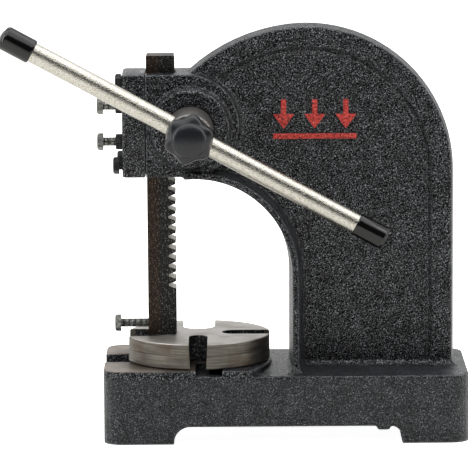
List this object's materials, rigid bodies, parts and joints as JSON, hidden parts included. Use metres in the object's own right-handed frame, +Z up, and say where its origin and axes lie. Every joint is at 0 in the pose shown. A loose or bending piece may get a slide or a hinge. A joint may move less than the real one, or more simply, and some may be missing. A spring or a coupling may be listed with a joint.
{
  "type": "arbor press",
  "caption": "Small bench arbor press: a cast C-frame with a toothed ram driven by a pinion and a sliding handle bar, over a slotted table plate that turns.",
  "frame": {"origin": "on the floor under the middle of the whole press, handle included", "axes": "+X from the ram back to the column, +Y away from the handle side, +Z up"},
  "size_m": [0.312, 0.147, 0.2834],
  "materials": {
    "black_paint": "black hammered paint on cast iron",
    "bronze": "plain bronze strip",
    "dark_bar_steel": "dark oxide with rust",
    "ground_iron": "ground and turned",
    "turned_steel": "turned",
    "plated_steel": "zinc plated",
    "black_steel": "black oxide",
    "bright_steel": "bright drawn bar",
    "knob_black": "satin phenolic",
    "vinyl_black": "glossy vinyl"
  },
  "bodies": {
    "frame": {"frame_casting": "black_paint", "ram_cover": "black_paint", "gib_strip": "bronze", "cover_screw_near_top": "black_steel", "cover_screw_near_bottom": "black_steel", "cover_screw_far_top": "black_steel", "cover_screw_far_bottom": "black_steel", "lock_nut_upper": "black_steel", "lock_nut_lower": "black_steel"},
    "ram": {"ram": "dark_bar_steel"},
    "ram_screw": {"ram_set_screw": "plated_steel"},
    "table": {"work_table": "ground_iron", "table_pin": "turned_steel"},
    "pinion": {"pinion_shaft": "turned_steel", "pinion_washer": "plated_steel", "pinion_screw": "black_steel"},
    "handle": {"handle_bar": "bright_steel", "handle_cap_upper": "vinyl_black", "handle_cap_lower": "vinyl_black"},
    "knob": {"clamp_knob": "knob_black", "knob_stud": "plated_steel"},
    "adjuster_upper": {"adjusting_screw_upper": "plated_steel"},
    "adjuster_lower": {"adjusting_screw_lower": "plated_steel"}
  },
  "joints": [
    {"name": "pinion_turn", "type": "hinge", "parent": "frame", "child": "pinion", "pos_m": [-0.03023, 0.02151, 0.2105], "axis": [0, 1, 0], "range_deg": [0, 428]},
    {"name": "ram_slide", "type": "slide", "parent": "frame", "child": "ram", "axis": [0, 0, 1], "range_m": [0, 0.095]},
    {"name": "handle_slide", "type": "slide", "parent": "pinion", "child": "handle", "axis": [0.8788, 0, -0.4772], "range_m": [-0.108, 0.101]},
    {"name": "knob_turn", "type": "hinge", "parent": "pinion", "child": "knob", "pos_m": [-0.03023, -0.05374, 0.2105], "axis": [0, -1, 0], "range_deg": [0, 360]},
    {"name": "table_turn", "type": "hinge", "parent": "frame", "child": "table", "pos_m": [-0.02604, 0.02151, 0.0501], "axis": [0, 0, 1], "continuous": true},
    {"name": "adjuster_upper_turn", "type": "hinge", "parent": "frame", "child": "adjuster_upper", "pos_m": [-0.07606, 0.02151, 0.22355], "axis": [-1, 0, 0], "range_deg": [0, 360]},
    {"name": "adjuster_lower_turn", "type": "hinge", "parent": "frame", "child": "adjuster_lower", "pos_m": [-0.07606, 0.02151, 0.19905], "axis": [-1, 0, 0], "range_deg": [0, 360]},
    {"name": "ram_screw_turn", "type": "hinge", "parent": "ram", "child": "ram_screw", "pos_m": [-0.05986, 0.02151, 0.0745], "axis": [-1, 0, 0], "range_deg": [0, 360]}
  ],
  "couplings": [
    {"joint": "ram_slide", "follows": "pinion_turn", "m_per_rad": 0.0127}
  ]
}
